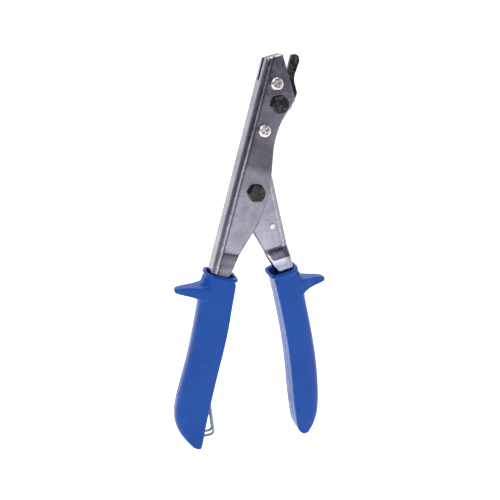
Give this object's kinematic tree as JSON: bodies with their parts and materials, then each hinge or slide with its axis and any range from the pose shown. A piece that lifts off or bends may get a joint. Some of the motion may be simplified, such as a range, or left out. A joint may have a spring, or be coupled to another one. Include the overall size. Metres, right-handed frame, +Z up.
{
  "type": "hand nibbler tool",
  "caption": "Hand nibbler for roofing and siding sheet: crossed folded-steel handles with blue grips, a swinging hook blade between die plates, and a wire latch.",
  "frame": {"origin": "centre of the bounding box at the lowest point of the grips, with the tool upright and the handles open", "axes": "+Z up from the grips to the head, +X from the fixed handle towards the moving handle, +Y from the front face to the back; every pivot runs along Y"},
  "size_m": [0.1072, 0.022, 0.2645],
  "materials": {
    "plated_steel_body": "satin",
    "plated_steel_arm": "satin",
    "hardened_steel": "polished",
    "nickel_screws": "polished",
    "black_oxide": "satin",
    "spring_wire": "polished",
    "latch_wire": "polished",
    "blue_vinyl": "satin"
  },
  "bodies": {
    "body": {"body_channel": "plated_steel_body", "front_die_plate": "hardened_steel", "rear_die_plate": "hardened_steel", "front_die_screws": "nickel_screws", "rear_die_screws": "nickel_screws", "main_pivot_bolt": "black_oxide", "main_pivot_nut": "black_oxide", "main_pivot_sleeve": "hardened_steel", "main_pivot_washers": "nickel_screws", "blade_pivot_bolt": "black_oxide", "blade_pivot_nut": "black_oxide", "blade_pivot_sleeve": "hardened_steel", "return_spring": "spring_wire", "left_grip": "blue_vinyl"},
    "moving_handle": {"moving_arm_channel": "plated_steel_arm", "drive_pin": "hardened_steel", "drive_sleeve": "hardened_steel", "spring_rivet": "nickel_screws", "right_grip": "blue_vinyl"},
    "blade": {"blade": "black_oxide"},
    "latch": {"latch_bail": "latch_wire"}
  },
  "joints": [
    {"name": "handle_squeeze", "type": "hinge", "parent": "body", "child": "moving_handle", "pos_m": [0.00278, 0, 0.18115], "axis": [0, 1, 0], "range_deg": [0, 19], "stiffness_Nm_per_rad": 0.9, "springref_deg": -14.32, "deforming": ["return_spring"]},
    {"name": "blade_swing", "type": "hinge", "parent": "body", "child": "blade", "pos_m": [0.0175, 0, 0.23497], "axis": [0, 1, 0], "range_deg": [-17.3, 0]},
    {"name": "latch_swing", "type": "hinge", "parent": "body", "child": "latch", "pos_m": [-0.03929, 0, 0.00853], "axis": [0, 1, 0], "range_deg": [0, 97]}
  ],
  "couplings": [
    {"joint": "blade_swing", "follows": "handle_squeeze", "ratio": -0.8966}
  ]
}
